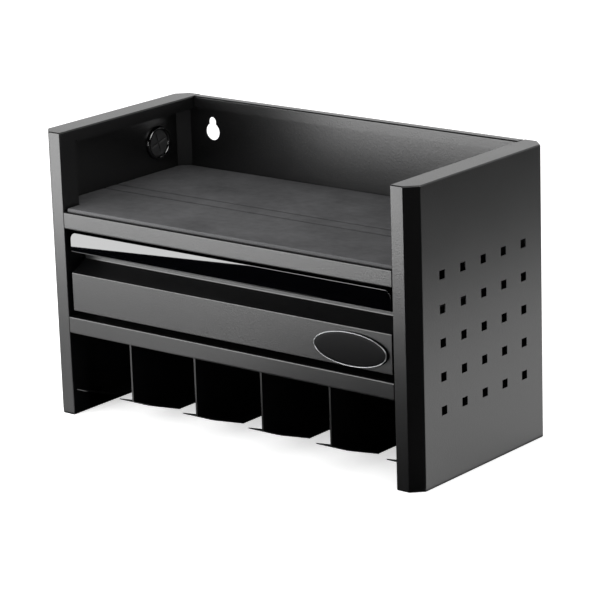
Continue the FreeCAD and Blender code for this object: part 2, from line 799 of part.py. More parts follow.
def drawer_tray():
    """Drawer tray: a folded pan with hems along its sides and rear."""
    t = DRAWER_SHEET
    outer = box(-TRAY_X, TRAY_X, TRAY_FRONT_Y, TRAY_REAR_Y, TRAY_BOTTOM, TRAY_TOP)
    upright = [edge for edge in outer.Edges if is_upright(edge)]
    outer = outer.makeFillet(BEND_RADIUS, upright)
    x = TRAY_X - t
    hollow = box(-x, x, TRAY_FRONT_Y + t, TRAY_REAR_Y - t, TRAY_BOTTOM + t, TRAY_TOP - t)
    mouth_x = x - TRAY_HEM
    mouth_rear = TRAY_REAR_Y - t - TRAY_HEM
    mouth = box(-mouth_x, mouth_x, TRAY_FRONT_Y + t, mouth_rear, TRAY_TOP - 2 * t, TRAY_TOP + 1)
    drills = slide_drills(TRAY_X - 2 * t, TRAY_X + t)
    return outer.cut([hollow, mouth] + drills + [mirror_x(drill) for drill in drills])


def is_upright(edge):
    """True for an edge that runs along Z."""
    a, b = [vertex.Point for vertex in edge.Vertexes]
    return abs(a.x - b.x) < SAME_POINT and abs(a.y - b.y) < SAME_POINT


def drawer_front():
    """Drawer front: face, ledge and riser folded from one sheet, with closed ends."""
    line = [
        (FACE_Y + FRONT_UNDERLAP, FACE_BOTTOM),
        (FACE_Y, FACE_BOTTOM),
        (FACE_Y, FACE_TOP),
        (RISER_Y, RISER_BOTTOM),
        (RISER_Y, RISER_TOP),
        (FLANGE_END_Y, RISER_TOP),
    ]
    bends = [INNER_BEND, INNER_BEND, INNER_BEND, RISER_BEND, INNER_BEND, INNER_BEND]
    skin = folded_sheet(line, -DRAWER_SHEET, "YZ", -FACE_X, FACE_X, bends)
    inner_edge = TRAY_X - BEND_RADIUS
    underlap_y = TRAY_FRONT_Y
    wide = box(-FACE_X, FACE_X, FRONT, underlap_y, 0.0, HEIGHT)
    narrow = box(-inner_edge, inner_edge, underlap_y, REAR, 0.0, RISER_TOP - 2 * DRAWER_SHEET)
    rear_part = box(-inner_edge, inner_edge, underlap_y, REAR, RISER_TOP - 2 * DRAWER_SHEET, HEIGHT)
    skin = skin.common(fuse([wide, narrow, rear_part]))
    end_outline = [
        (FACE_Y, FACE_BOTTOM),
        (FACE_Y, FACE_TOP),
        (RISER_Y, RISER_BOTTOM),
        (RISER_Y, RISER_TOP),
        (TRAY_FRONT_Y, RISER_TOP),
        (TRAY_FRONT_Y, FACE_BOTTOM),
    ]
    outer = INNER_BEND + DRAWER_SHEET
    radii = [outer, outer, RISER_BEND, outer, 0.0, 0.0]
    ends = []
    for side in (-1, 1):
        x = side * FACE_X
        inner = x - side * DRAWER_SHEET
        ends.append(prism(end_outline, "YZ", min(x, inner), max(x, inner), radii))
    drills = []
    for x in pull_screw_columns():
        start = Vector(x, PULL_SCREW_Y, RISER_TOP - 2 * DRAWER_SHEET)
        drills.append(cylinder(SCREW_RADIUS + RIVET_FIT, start, Vector(0, 0, 1), 3 * DRAWER_SHEET))
    return fuse([skin] + ends).cut(drills)


def pull_outline(inset=0.0):
    """Side view of the pull, moved inwards by inset, with the radius of each corner."""
    top = UPPER_SHELF_Z - SHELF_APRON - PULL_TOP_GAP
    points = [
        (FLANGE_END_Y, RISER_TOP),
        (FLANGE_END_Y, top),
        (FACE_Y, top),
        (FACE_Y, RISER_TOP + PULL_UNDERSIDE_RISE),
        (RISER_Y + PULL_FOOT_GAP, RISER_TOP),
    ]
    radii = [
        PULL_FOOT_RADIUS,
        PULL_REAR_RADIUS,
        PULL_BROW_RADIUS,
        PULL_CHIN_RADIUS,
        PULL_FOOT_RADIUS,
    ]
    if inset <= 0.0:
        return points, radii
    inner = offset_points(points, inset, closed=True)
    return inner, [max(radius - inset, PULL_LEAST_RADIUS) for radius in radii]


def drawer_pull():
    """Hollow glossy profile that overhangs the finger recess along the whole front."""
    half = FACE_X - PULL_CAP
    points, radii = pull_outline()
    shell = prism(points, "YZ", -half, half, radii)
    inner_points, inner_radii = pull_outline(PULL_WALL)
    hollow = prism(inner_points, "YZ", -half - 1, half + 1, inner_radii)
    drills = []
    for x in pull_screw_columns():
        start = Vector(x, PULL_SCREW_Y, RISER_TOP - 1)
        drills.append(cylinder(SCREW_RADIUS, start, Vector(0, 0, 1), PULL_WALL + 2))
    return shell.cut([hollow] + drills)


def pull_end_cap():
    """Right-hand end cap of the pull, with a plug that sits inside the profile."""
    points, radii = pull_outline()
    top = max(z for y, z in points)
    plate = prism(points, "YZ", FACE_X - PULL_CAP, FACE_X, radii)
    elevation = [
        (0.0, RISER_TOP - 1),
        (FACE_X, RISER_TOP - 1),
        (FACE_X, top),
        (0.0, top),
    ]
    corners = [0.0, 0.0, PULL_CAP_CORNER, 0.0]
    plate = plate.common(prism(elevation, "XZ", FRONT, REAR, corners))
    rounded = [edge for edge in plate.Edges if meets_end(edge)]
    plate = plate.makeFillet(PULL_CAP_EDGE, rounded)
    plug_points, plug_radii = pull_outline(PULL_WALL + PULL_PLUG_FIT)
    plug_start = FACE_X - PULL_CAP - PULL_PLUG
    plug = prism(plug_points, "YZ", plug_start, FACE_X - PULL_CAP / 2.0, plug_radii)
    core_points, core_radii = pull_outline(2 * PULL_WALL + PULL_PLUG_FIT)
    core = prism(core_points, "YZ", plug_start - 1, FACE_X - PULL_CAP_SHELL, core_radii)
    return fuse([plate, plug]).cut(core)


def meets_end(edge):
    """True for an edge in the outer end face of the pull's right-hand cap."""
    return edge.BoundBox.XMin > FACE_X - SAME_POINT


def pull_screw_columns():
    """Places of the pull's screws along the drawer front."""
    return [FACE_X * share for share in PULL_SCREW_SHARES]


def pull_screws():
    """Screws from below through the front's flange into the pull."""
    screws = []
    for x in pull_screw_columns():
        seat = Vector(x, PULL_SCREW_Y, RISER_TOP - DRAWER_SHEET)
        screws.append(screw(seat, Vector(0, 0, 1), DRAWER_SHEET + PULL_WALL + SCREW_TAIL))
    return Part.makeCompound(screws)


def oval(width, height, depth):
    """Flat oval on the drawer's face, standing proud of it by depth."""
    ellipse = Part.Ellipse(Vector(0, 0, 0), width / 2.0, height / 2.0)
    face = Part.Face(Part.Wire([ellipse.toShape()]))
    face.rotate(Vector(0, 0, 0), Vector(1, 0, 0), 90)
    middle_z = FACE_BOTTOM + FACE_HEIGHT / 2.0 - BADGE_DROP
    face.translate(Vector(BADGE_X, FACE_Y, middle_z))
    return face.extrude(Vector(0, -depth, 0))


def badge_rim():
    """Bright raised rim along the edge of the badge's front."""
    ring = oval(BADGE_WIDTH, BADGE_HEIGHT, BADGE_RIM_PROUD)
    inner = oval(BADGE_WIDTH - 2 * BADGE_RIM, BADGE_HEIGHT - 2 * BADGE_RIM, BADGE_RIM_PROUD + 1)
    body = oval(BADGE_WIDTH + 1, BADGE_HEIGHT + 1, BADGE_BODY_PROUD)
    ring = ring.cut([inner, body])
    front = [edge for edge in ring.Edges if at_y(edge, FACE_Y - BADGE_RIM_PROUD)]
    return ring.makeFillet(BADGE_RIM_ROUND, front)


def at_y(edge, y):
    """True for an edge that lies in the plane of a given y."""
    return abs(edge.BoundBox.YMin - y) < 1e-4 and abs(edge.BoundBox.YMax - y) < 1e-4


def badge_plate():
    """Black badge body with a raised bare field inside the rim."""
    margin = 2 * (BADGE_RIM + BADGE_FIT)
    body = oval(BADGE_WIDTH, BADGE_HEIGHT, BADGE_BODY_PROUD)
    return fuse([body, oval(BADGE_WIDTH - margin, BADGE_HEIGHT - margin, BADGE_FIELD_PROUD)])


def build():
    """All nodes of the rack by name."""
    nodes = {
        "left_side_panel": left_side_panel(),
        "right_side_panel": side_panel(),
        "back_panel": back_panel(),
        "upper_shelf": shelf(UPPER_SHELF_Z),
        "lower_shelf": lower_shelf(),
        "shelf_mat": shelf_mat(),
        "cable_grommet": cable_grommet(),
        "grommet_petals": grommet_petals(),
        "holder_rivets": holder_rivets(),
        "slide_bracket_left": mirror_x(slide_bracket()),
        "slide_bracket_right": slide_bracket(),
        "slide_outer_left": mirror_x(slide_outer()),
        "slide_outer_right": slide_outer(),
        "slide_rivets": slide_rivets(),
        "outer_ball_cages": outer_ball_cages(),
        "slide_middle_left": mirror_x(slide_middle()),
        "slide_middle_right": slide_middle(),
        "inner_ball_cages": inner_ball_cages(),
        "slide_inner_left": mirror_x(slide_inner()),
        "slide_inner_right": slide_inner(),
        "drawer_rivets": drawer_rivets(),
        "drawer_tray": drawer_tray(),
        "drawer_front": drawer_front(),
        "drawer_pull": drawer_pull(),
        "pull_cap_left": mirror_x(pull_end_cap()),
        "pull_cap_right": pull_end_cap(),
        "pull_screws": pull_screws(),
        "badge_plate": badge_plate(),
        "badge_rim": badge_rim(),
    }
    for index, centre in enumerate(holder_centres()):
        at_end = index in (0, HOLDER_COUNT - 1)
        holder = end_tool_holder(centre) if at_end else tool_holder(centre)
        nodes["tool_holder_%d" % (index + 1)] = holder
    return nodes


def main():
    os.makedirs("parts", exist_ok=True)
    for name, shape in sorted(build().items()):
        if not shape.isValid():
            print("not valid:", name)
        shape.exportStep("parts/%s.step" % name)
        print("%-22s solids %3d volume %12.1f" % (name, len(shape.Solids), shape.Volume))


main()
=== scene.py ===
"""Looks of a power tool storage rack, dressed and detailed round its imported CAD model.

The folded sheets, the drawer and its slides keep their CAD shapes and get procedural finishes. The foam
mat, the cable grommet, the oval badge and the holders' blind rivets are modelled here in finer detail, and
stand for their CAD solids.
"""

import logging
import math
from collections.abc import Callable, Iterator, Sequence
from contextlib import contextmanager
from dataclasses import dataclass
from enum import Enum

import bmesh
import bpy
from mathutils import Matrix, Vector, noise


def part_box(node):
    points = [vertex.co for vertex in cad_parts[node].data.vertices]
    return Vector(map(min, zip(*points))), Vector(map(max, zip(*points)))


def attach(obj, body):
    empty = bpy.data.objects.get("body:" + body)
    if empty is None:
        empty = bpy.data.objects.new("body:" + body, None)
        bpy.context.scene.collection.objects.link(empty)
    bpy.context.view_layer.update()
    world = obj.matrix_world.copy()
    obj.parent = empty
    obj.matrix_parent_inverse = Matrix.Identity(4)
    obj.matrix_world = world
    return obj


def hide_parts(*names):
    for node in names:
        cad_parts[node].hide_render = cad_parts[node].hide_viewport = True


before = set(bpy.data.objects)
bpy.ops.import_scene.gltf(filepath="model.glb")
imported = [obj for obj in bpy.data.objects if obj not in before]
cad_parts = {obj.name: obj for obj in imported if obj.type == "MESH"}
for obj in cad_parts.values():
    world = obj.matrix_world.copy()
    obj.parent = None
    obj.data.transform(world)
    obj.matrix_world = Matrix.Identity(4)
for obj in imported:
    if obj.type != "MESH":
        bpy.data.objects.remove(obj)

bpy.context.view_layer.update()
MM = 0.001
PLACE_SLACK = 0.02 * MM
MERGE_GAP = 0.002 * MM
HOLDERS = 5
HOLDER_PITCH_MM = 97.2
# where the mat was folded when it was packed, as places along Y
MAT_CREASES_MM = (-23.5, -1.5)
Tree = bpy.types.NodeTree
Socket = bpy.types.NodeSocket
log = logging.getLogger("rack")


class Axis(Enum):
    """Directions that a turned or stacked shape can face."""

    FRONT = Vector((0.0, -1.0, 0.0))
    INWARD_FROM_LEFT = Vector((1.0, 0.0, 0.0))
    UP = Vector((0.0, 0.0, 1.0))


class Part(Enum):
    """What a selection in edit mode holds."""

    VERTICES = "VERT"
    EDGES = "EDGE"
    FACES = "FACE"


class Shell(Enum):
    """How a stack of rings is closed."""

    CAPPED = "capped"
    LOOPED = "looped"


def linear(hex_colour: str) -> tuple[float, float, float, float]:
    """Turns an sRGB hex colour to the linear values that a shader takes.

    Args:
        hex_colour: The colour, such as "#1A1A1B".

    Returns:
        Red, green, blue and an alpha of 1.
    """
    channels = [int(hex_colour[i:i + 2], 16) / 255 for i in (1, 3, 5)]
    straight = [c / 12.92 if c <= 0.04045 else ((c + 0.055) / 1.055) ** 2.4 for c in channels]
    return (straight[0], straight[1], straight[2], 1.0)


def add_node(
    tree: Tree, kind: str, inputs: dict | None = None, **settings: object
) -> bpy.types.Node:
    """Adds one node, applies its settings, and fills or links its inputs.

    Args:
        tree: The node tree that gets the node.
        kind: The node's type, without its ShaderNode prefix.
        inputs: Values or output sockets by input name or number.
        **settings: Properties of the node itself.

    Returns:
        The new node.
    """
    node = tree.nodes.new("ShaderNode" + kind)
    for name, value in settings.items():
        setattr(node, name, value)
    for name, value in (inputs or {}).items():
        if isinstance(value, Socket):
            tree.links.new(value, node.inputs[name])
        else:
            node.inputs[name].default_value = value
    return node


@dataclass(frozen=True)
class Finish:
    """A surface named for its real material."""

    name: str

    def material(self) -> bpy.types.Material:
        """Draws the finish in a new material.

        Returns:
            The material, ready for a slot.
        """
        material = bpy.data.materials.new(self.name)
        material.use_nodes = True
        tree = material.node_tree
        tree.nodes.clear()
        place = add_node(tree, "TexCoord").outputs["Object"]
        add_node(tree, "OutputMaterial", {"Surface": self.surface(tree, place)})
        return material

    def surface(self, tree: Tree, place: Socket) -> Socket:
        """Draws the shader. Each finish has its own.

        Args:
            tree: The material's node tree.
            place: Object coordinates in metres.

        Returns:
            The shader's output.
        """
        raise NotImplementedError


@dataclass(frozen=True)
class PowderCoat(Finish):
    """Black polyester powder, sprayed on folded sheet steel and baked.

    It gives the eye a satin black skin with a fine leathery grain, which breaks the edge of each highlight.
    """

    thin: str = "#080809"
    full: str = "#050506"
    peel_mm: float = 1.9
    grain_mm: float = 1.1
    depth_mm: float = 0.09
    cloud_mm: float = 90.0
    roughness: tuple[float, float] = (0.28, 0.33)
    specular: float = 0.9

    def surface(self, tree: Tree, place: Socket) -> Socket:
        """Draws orange peel and grain as bump, and slow changes in colour and gloss.

        Args:
            tree: The material's node tree.
            place: Object coordinates in metres.

        Returns:
            The shader's output.
        """
        # real grain is about half a millimetre and is drawn at a millimetre, the least that shows
        peel, grain, cloud = (
            add_node(
                tree, "TexNoise", {"Vector": place, "Scale": 1 / (size * MM), "Detail": detail}
            ).outputs[0]
            for size, detail in ((self.peel_mm, 1.0), (self.grain_mm, 2.0), (self.cloud_mm, 2.0))
        )
        height = add_node(tree, "Math", {0: peel, 1: grain}, operation="ADD").outputs[0]
        bump = add_node(tree, "Bump", {"Height": height, "Strength": 1.0, "Distance": self.depth_mm * MM})
        colour = add_node(
            tree, "Mix", {0: cloud, 6: linear(self.full), 7: linear(self.thin)}, data_type="RGBA"
        )
        low, high = self.roughness
        rough = add_node(tree, "MapRange", {"Value": cloud, "To Min": low, "To Max": high})
        return add_node(tree, "BsdfPrincipled", {
            "Base Color": colour.outputs[2], "Roughness": rough.outputs[0], "Normal": bump.outputs[0],
            "Specular IOR Level": self.specular,
        }).outputs[0]


@dataclass(frozen=True)
class EvaFoam(Finish):
    """Closed-cell EVA foam, skived to a sheet and die cut.

    It gives the eye a soft matte dark grey with faint skiving streaks along the shelf, and open cells where
    it is cut.
    """

    dark: str = "#3C3C3E"
    light: str = "#575759"
    cut_face: str = "#565657"
    # colour of the painted shade drawn along the fold creases
    crease: str = "#0A0A0A"
    cell_mm: float = 1.2
    cell_edge: tuple[float, float] = (0.25, 0.6)
    cell_floor: float = 0.15
    streak_mm: float = 8.0
    streak_stretch: float = 1.3
    streak_share: float = 0.6
    cloud_mm: float = 70.0
    contrast: tuple[float, float] = (0.5, 1.1)
    depth_mm: float = 0.12
    painted_crease_shade_half_mm: float = 2.6
    painted_crease_shade_share: float = 0.7
    top_to_cut: tuple[float, float] = (0.95, 0.4)

    def surface(self, tree: Tree, place: Socket) -> Socket:
        """Draws cells as bump and specks, streaks and clouds as changes in colour, and painted shade along
        the fold creases.

        Args:
            tree: The material's node tree.
            place: Object coordinates in metres.

        Returns:
            The shader's output.
        """
        along = add_node(tree, "Mapping", {"Vector": place, "Scale": (1 / self.streak_stretch, 1.0, 1.0)})
        streak, cloud = (
            add_node(
                tree, "TexNoise", {"Vector": at, "Scale": 1 / (size * MM), "Detail": detail}
            ).outputs[0]
            for at, size, detail in ((along.outputs[0], self.streak_mm, 4.0), (place, self.cloud_mm, 2.0))
        )
        shade = add_node(
            tree, "Math", {0: streak, 1: self.streak_share, 2: cloud}, operation="MULTIPLY_ADD"
        )
        low, high = self.contrast
        spread = add_node(
            tree, "MapRange", {"Value": shade.outputs[0], "From Min": low, "From Max": high}
        ).outputs[0]
        tone = add_node(
            tree, "Mix", {0: spread, 6: linear(self.dark), 7: linear(self.light)}, data_type="RGBA"
        ).outputs[2]
        along_y = add_node(tree, "SeparateXYZ", {0: place}).outputs[1]
        # painted shade: a dark line is mixed into the colour along each fold crease, where shade falls in
        # the dent
        for crease in MAT_CREASES_MM:
            off = add_node(tree, "Math", {0: along_y, 1: crease * MM}, operation="SUBTRACT")
            away = add_node(tree, "Math", {0: off.outputs[0]}, operation="ABSOLUTE")
            line = add_node(tree, "MapRange", {
                "Value": away.outputs[0], "From Max": self.painted_crease_shade_half_mm * MM,
                "To Min": self.painted_crease_shade_share, "To Max": 0.0,
            })
            tone = add_node(
                tree, "Mix", {0: line.outputs[0], 6: tone, 7: linear(self.crease)}, data_type="RGBA"
            ).outputs[2]
        # cells are 0.3 to 0.6 mm across and are drawn at about twice that, so that they show
        cell = add_node(tree, "TexVoronoi", {"Vector": place, "Scale": 1 / (self.cell_mm * MM)}).outputs[0]
        facing = add_node(tree, "SeparateXYZ", {0: add_node(tree, "NewGeometry").outputs["Normal"]})
        level = add_node(tree, "Math", {0: facing.outputs[2]}, operation="ABSOLUTE").outputs[0]
        top, side = self.top_to_cut
        cut = add_node(tree, "MapRange", {"Value": level, "From Min": top, "From Max": side})
        low, high = self.cell_edge
        specks = add_node(
            tree, "MapRange", {"Value": cell, "From Min": low, "From Max": high, "To Min": self.cell_floor}
        )
        open_cells = add_node(tree, "Math", {0: cut.outputs[0], 1: specks.outputs[0]}, operation="MULTIPLY")
        colour = add_node(
            tree, "Mix", {0: open_cells.outputs[0], 6: tone, 7: linear(self.cut_face)}, data_type="RGBA"
        )
        bump = add_node(tree, "Bump", {"Height": cell, "Strength": 0.6, "Distance": self.depth_mm * MM})
        return add_node(tree, "BsdfPrincipled", {
            "Base Color": colour.outputs[2], "Roughness": 0.9, "Normal": bump.outputs[0],
            "Specular IOR Level": 0.3, "Sheen Weight": 0.05, "Sheen Roughness": 0.6,
        }).outputs[0]


@dataclass(frozen=True)
class GlossyMoulding(Finish):
    """Black ABS, extruded or moulded against polished steel.

    It gives the eye a deep black with clear reflections, and the pull's fine die lines along its length.
    """

    shade: str = "#020203"
    roughness: tuple[float, float] = (0.008, 0.014)
    line_mm: float = 1.6
    line_stretch: float = 60.0
    depth_mm: float = 0.00008
    specular: float = 1.0
    coat: float = 0.6
    coat_roughness: float = 0.01

    def surface(self, tree: Tree, place: Socket) -> Socket:
        """Draws lines along X as bump and as changes in gloss.

        Args:
            tree: The material's node tree.
            place: Object coordinates in metres.

        Returns:
            The shader's output.
        """
        along = add_node(tree, "Mapping", {"Vector": place, "Scale": (1 / self.line_stretch, 1.0, 1.0)})
        line = add_node(
            tree, "TexNoise", {"Vector": along.outputs[0], "Scale": 1 / (self.line_mm * MM), "Detail": 3.0}
        ).outputs[0]
        low, high = self.roughness
        rough = add_node(tree, "MapRange", {"Value": line, "To Min": low, "To Max": high})
        bump = add_node(tree, "Bump", {"Height": line, "Strength": 1.0, "Distance": self.depth_mm * MM})
        return add_node(tree, "BsdfPrincipled", {
            "Base Color": linear(self.shade), "Roughness": rough.outputs[0], "Normal": bump.outputs[0],
            "Specular IOR Level": self.specular, "Coat Weight": self.coat,
            "Coat Roughness": self.coat_roughness,
        }).outputs[0]


@dataclass(frozen=True)
class SatinMoulding(Finish):
    """Black plastic or rubber moulded in a spark-eroded tool.

    It gives the eye a soft black with a fine even grain.
    """

    shade: str = "#161617"
    worn: str = "#1E1E1F"
    grain_mm: float = 0.9
    depth_mm: float = 0.02
    roughness: float = 0.5
    specular: float = 0.5
    # depths along X and colour of the painted shade in slits
    painted_slit_shade_x_mm: tuple[float, float] | None = None
    painted_slit_shade: str = "#010101"

    def surface(self, tree: Tree, place: Socket) -> Socket:
        """Draws the tool's grain as bump and a slight change in colour, and paints shade into slits, darker
        the deeper they go.

        Args:
            tree: The material's node tree.
            place: Object coordinates in metres.

        Returns:
            The shader's output.
        """
        grain = add_node(
            tree, "TexNoise", {"Vector": place, "Scale": 1 / (self.grain_mm * MM), "Detail": 2.0}
        ).outputs[0]
        colour = add_node(
            tree, "Mix", {0: grain, 6: linear(self.shade), 7: linear(self.worn)}, data_type="RGBA"
        ).outputs[2]
        # painted shade: the colour turns near-black with depth below the face, where shade falls in the
        # slits
        if self.painted_slit_shade_x_mm:
            deep, shallow = (x * MM for x in self.painted_slit_shade_x_mm)
            depth = add_node(tree, "SeparateXYZ", {0: place}).outputs[0]
            share = add_node(tree, "MapRange", {"Value": depth, "From Min": deep, "From Max": shallow})
            colour = add_node(
                tree, "Mix", {0: share.outputs[0], 6: linear(self.painted_slit_shade), 7: colour}, data_type="RGBA"
            ).outputs[2]
        bump = add_node(tree, "Bump", {"Height": grain, "Strength": 1.0, "Distance": self.depth_mm * MM})
        return add_node(tree, "BsdfPrincipled", {
            "Base Color": colour, "Roughness": self.roughness, "Normal": bump.outputs[0],
            "Specular IOR Level": self.specular,
        }).outputs[0]


@dataclass(frozen=True)
class BareMetal(Finish):
    """Zinc-plated strip, turned rivets, polished balls or bright trim.

    It gives the eye a metal whose rolling or brushing lines run along the piece and stretch its highlights.
    """

    bright: str = "#C4C5C7"
    dull: str = "#A4A5A8"
    line_mm: float = 0.8
    stretch: tuple[float, float, float] = (1.0, 0.04, 1.0)
    roughness: tuple[float, float] = (0.24, 0.38)
    depth_mm: float = 0.004

    def surface(self, tree: Tree, place: Socket) -> Socket:
        """Draws lines along the stretched axis as bump, colour and gloss.

        Args:
            tree: The material's node tree.
            place: Object coordinates in metres.

        Returns:
            The shader's output.
        """
        along = add_node(tree, "Mapping", {"Vector": place, "Scale": self.stretch})
        line = add_node(
            tree, "TexNoise", {"Vector": along.outputs[0], "Scale": 1 / (self.line_mm * MM), "Detail": 3.0}
        ).outputs[0]
        colour = add_node(
            tree, "Mix", {0: line, 6: linear(self.dull), 7: linear(self.bright)}, data_type="RGBA"
        )
        low, high = self.roughness
        rough = add_node(tree, "MapRange", {"Value": line, "To Min": low, "To Max": high})
        bump = add_node(tree, "Bump", {"Height": line, "Strength": 1.0, "Distance": self.depth_mm * MM})
        return add_node(tree, "BsdfPrincipled", {
            "Base Color": colour.outputs[2], "Metallic": 1.0, "Roughness": rough.outputs[0],
            "Normal": bump.outputs[0],
        }).outputs[0]


@dataclass(frozen=True)
class StudioFloor(Finish):
    """Seamless white paper under the rack.

    It gives the eye a clean white ground that still takes a soft shadow.
    """

    shade: str = "#F2F2F2"
    lift: float = 0.57
    fibre_mm: float = 3.0
    depth_mm: float = 0.05

    def surface(self, tree: Tree, place: Socket) -> Socket:
        """Adds a white glow for seen rays to plain paper, so that only the shadow shows.

        Args:
            tree: The material's node tree.
            place: Object coordinates in metres.

        Returns:
            The shader's output.
        """
        fibre = add_node(
            tree, "TexNoise", {"Vector": place, "Scale": 1 / (self.fibre_mm * MM), "Detail": 2.0}
        ).outputs[0]
        bump = add_node(tree, "Bump", {"Height": fibre, "Strength": 0.2, "Distance": self.depth_mm * MM})
        paper = add_node(
            tree, "BsdfDiffuse", {"Color": linear(self.shade), "Normal": bump.outputs[0]}
        ).outputs[0]
        glow = add_node(tree, "Emission", {"Strength": self.lift})
        seen = add_node(tree, "AddShader", {0: paper, 1: glow.outputs[0]})
        return add_node(tree, "MixShader", {0: seen_ray(tree), 1: paper, 2: seen.outputs[0]}).outputs[0]


@dataclass(frozen=True)
class Card(Finish):
    """Cloth or board on a frame, laid out of shot to shape the reflections: black, or evenly lit."""

    glow: float = 0.0

    def surface(self, tree: Tree, place: Socket) -> Socket:
        """Draws an even glow, which is none for a black card."""
        return add_node(tree, "Emission", {"Strength": self.glow}).outputs[0]


def seen_ray(tree: Tree) -> Socket:
    """Marks rays that the eye follows: straight, by reflection or through glass.

    Args:
        tree: The node tree that gets the nodes.

    Returns:
        A socket that is 1 for such rays and 0 for light that falls on a surface.
    """
    path = add_node(tree, "LightPath").outputs
    seen = path["Is Camera Ray"]
    for ray in ("Is Glossy Ray", "Is Transmission Ray"):
        seen = add_node(tree, "Math", {0: seen, 1: path[ray]}, operation="MAXIMUM").outputs[0]
    return seen


@contextmanager
def edit_mode(piece: bpy.types.Object) -> Iterator[None]:
    """Opens one piece in edit mode, with nothing else selected.

    Args:
        piece: The mesh object to work on.
    """
    bpy.ops.object.select_all(action="DESELECT")
    piece.select_set(True)
    bpy.context.view_layer.objects.active = piece
    bpy.ops.object.mode_set(mode="EDIT")
    try:
        yield
    finally:
        bpy.ops.object.mode_set(mode="OBJECT")


def pick(piece: bpy.types.Object, part: Part, test: Callable[..., bool]) -> int:
    """Selects the elements of an open piece that pass a test, and nothing else.

    Args:
        piece: The piece, in edit mode.
        part: Whether vertices, edges or faces are tested.
        test: Says whether an element is wanted.

    Returns:
        How many elements were selected.
    """
    bpy.ops.mesh.select_mode(type=part.value)
    bpy.ops.mesh.select_all(action="DESELECT")
    grid = bmesh.from_edit_mesh(piece.data)
    elements = {Part.VERTICES: grid.verts, Part.EDGES: grid.edges, Part.FACES: grid.faces}[part]
    wanted = [element for element in elements if test(element)]
    for element in wanted:
        element.select_set(True)
    grid.select_flush_mode()
    bmesh.update_edit_mesh(piece.data)
    return len(wanted)


def settle(piece: bpy.types.Object, crease_deg: float = 30.0) -> bpy.types.Object:
    """Merges doubles, turns faces outwards, and smooths all but the sharp edges.

    Args:
        piece: The mesh object to finish.
        crease_deg: Edges that turn by more than this stay sharp.

    Returns:
        The same piece, at the origin.
    """
    bpy.ops.object.select_all(action="DESELECT")
    piece.select_set(True)
    bpy.context.view_layer.objects.active = piece
    bpy.ops.object.transform_apply(location=True, rotation=True, scale=True)
    with edit_mode(piece):
        bpy.ops.mesh.select_all(action="SELECT")
        bpy.ops.mesh.remove_doubles(threshold=MERGE_GAP)
        bpy.ops.mesh.normals_make_consistent(inside=False)
    bpy.ops.object.shade_smooth_by_angle(angle=math.radians(crease_deg))
    return piece


@dataclass(frozen=True)
class Ring:
    """One outline in a stack: an oval or circle at a depth along the stack's axis, in millimetres."""

    across: float
    up: float
    depth: float


def circle(radius: float, depth: float) -> Ring:
    """Gives a round ring."""
    return Ring(radius, radius, depth)


def arc(start: Ring, end: Ring, steps: int, outward_first: bool) -> list[Ring]:
    """Rounds the corner between two rings with a quarter ellipse.

    Args:
        start: The ring the round leaves.
        end: The ring it reaches.
        steps: How many rings it takes.
        outward_first: Whether depth changes first, and width at the end.

    Returns:
        The rings after the start, up to the end.
    """
    rings = []
    for step in range(1, steps + 1):
        angle = math.pi / 2 * step / steps
        rise, run = math.sin(angle), 1 - math.cos(angle)
        if not outward_first:
            rise, run = run, rise
        rings.append(Ring(
            start.across + (end.across - start.across) * run,
            start.up + (end.up - start.up) * run,
            start.depth + (end.depth - start.depth) * rise,
        ))
    return rings


def stack(
    name: str, centre: Vector, facing: Axis, rings: Sequence[Ring], shell: Shell, points: int = 64
) -> bpy.types.Object:
    """Builds a piece by extruding a circle from ring to ring and sizing each one.

    Args:
        name: The piece's name.
        centre: Where depth 0 lies on the axis, in metres.
        facing: The direction in which depth grows.
        rings: The outlines in order.
        shell: Whether both ends are capped, or the last ring meets the first.
        points: How many points each ring has.

    Returns:
        The piece, at the origin, closed and facing outwards.
    """
    fill = "NGON" if shell is Shell.CAPPED else "NOTHING"
    bpy.ops.object.select_all(action="DESELECT")
    bpy.ops.mesh.primitive_circle_add(vertices=points, radius=1.0, fill_type=fill)
    piece = bpy.context.object
    piece.name = piece.data.name = name
    last = Ring(1 / MM, 1 / MM, 0.0)
    outlines = list(rings) + ([rings[0]] if shell is Shell.LOOPED else [])
    with edit_mode(piece):
        bpy.ops.mesh.select_all(action="SELECT")
        for number, ring in enumerate(outlines):
            if number:
                bpy.ops.mesh.extrude_region_move()
            bpy.ops.transform.translate(value=(0.0, 0.0, (ring.depth - last.depth) * MM))
            bpy.ops.transform.resize(
                value=(ring.across / last.across, ring.up / last.up, 1.0),
                center_override=(0.0, 0.0, ring.depth * MM),
            )
            last = ring
    axis = facing.value
    upright = Vector((0.0, 1.0, 0.0)) if facing is Axis.UP else Vector((0.0, 0.0, 1.0))
    across = upright.cross(axis)
    turn = Matrix((across, upright, axis)).transposed().to_4x4()
    piece.matrix_world = Matrix.Translation(centre) @ turn
    return settle(piece)


def stand_for(
    piece: bpy.types.Object, body: str, nodes: Sequence[str], material: bpy.types.Material
) -> None:
    """Dresses a new piece, sets it on its body and lets it stand for CAD nodes.

    Args:
        piece: The new piece.
        body: The CAD body that carries it.
        nodes: The CAD nodes that it replaces.
        material: Its finish.
    """
    piece.data.materials.clear()
    piece.data.materials.append(material)
    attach(piece, body)
    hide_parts(*nodes)
    log.info("%s: %d faces, on %s", piece.name, len(piece.data.polygons), body)


def dress(names: Sequence[str], finish: Finish) -> None:
    """Gives CAD nodes a finish through their material slots.

    Args:
        names: The nodes.
        finish: What they are coated with or made of.
    """
    material = finish.material()
    for name in names:
        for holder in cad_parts[name].material_slots:
            holder.material = material
        log.info("%s: %s", name, finish.name)


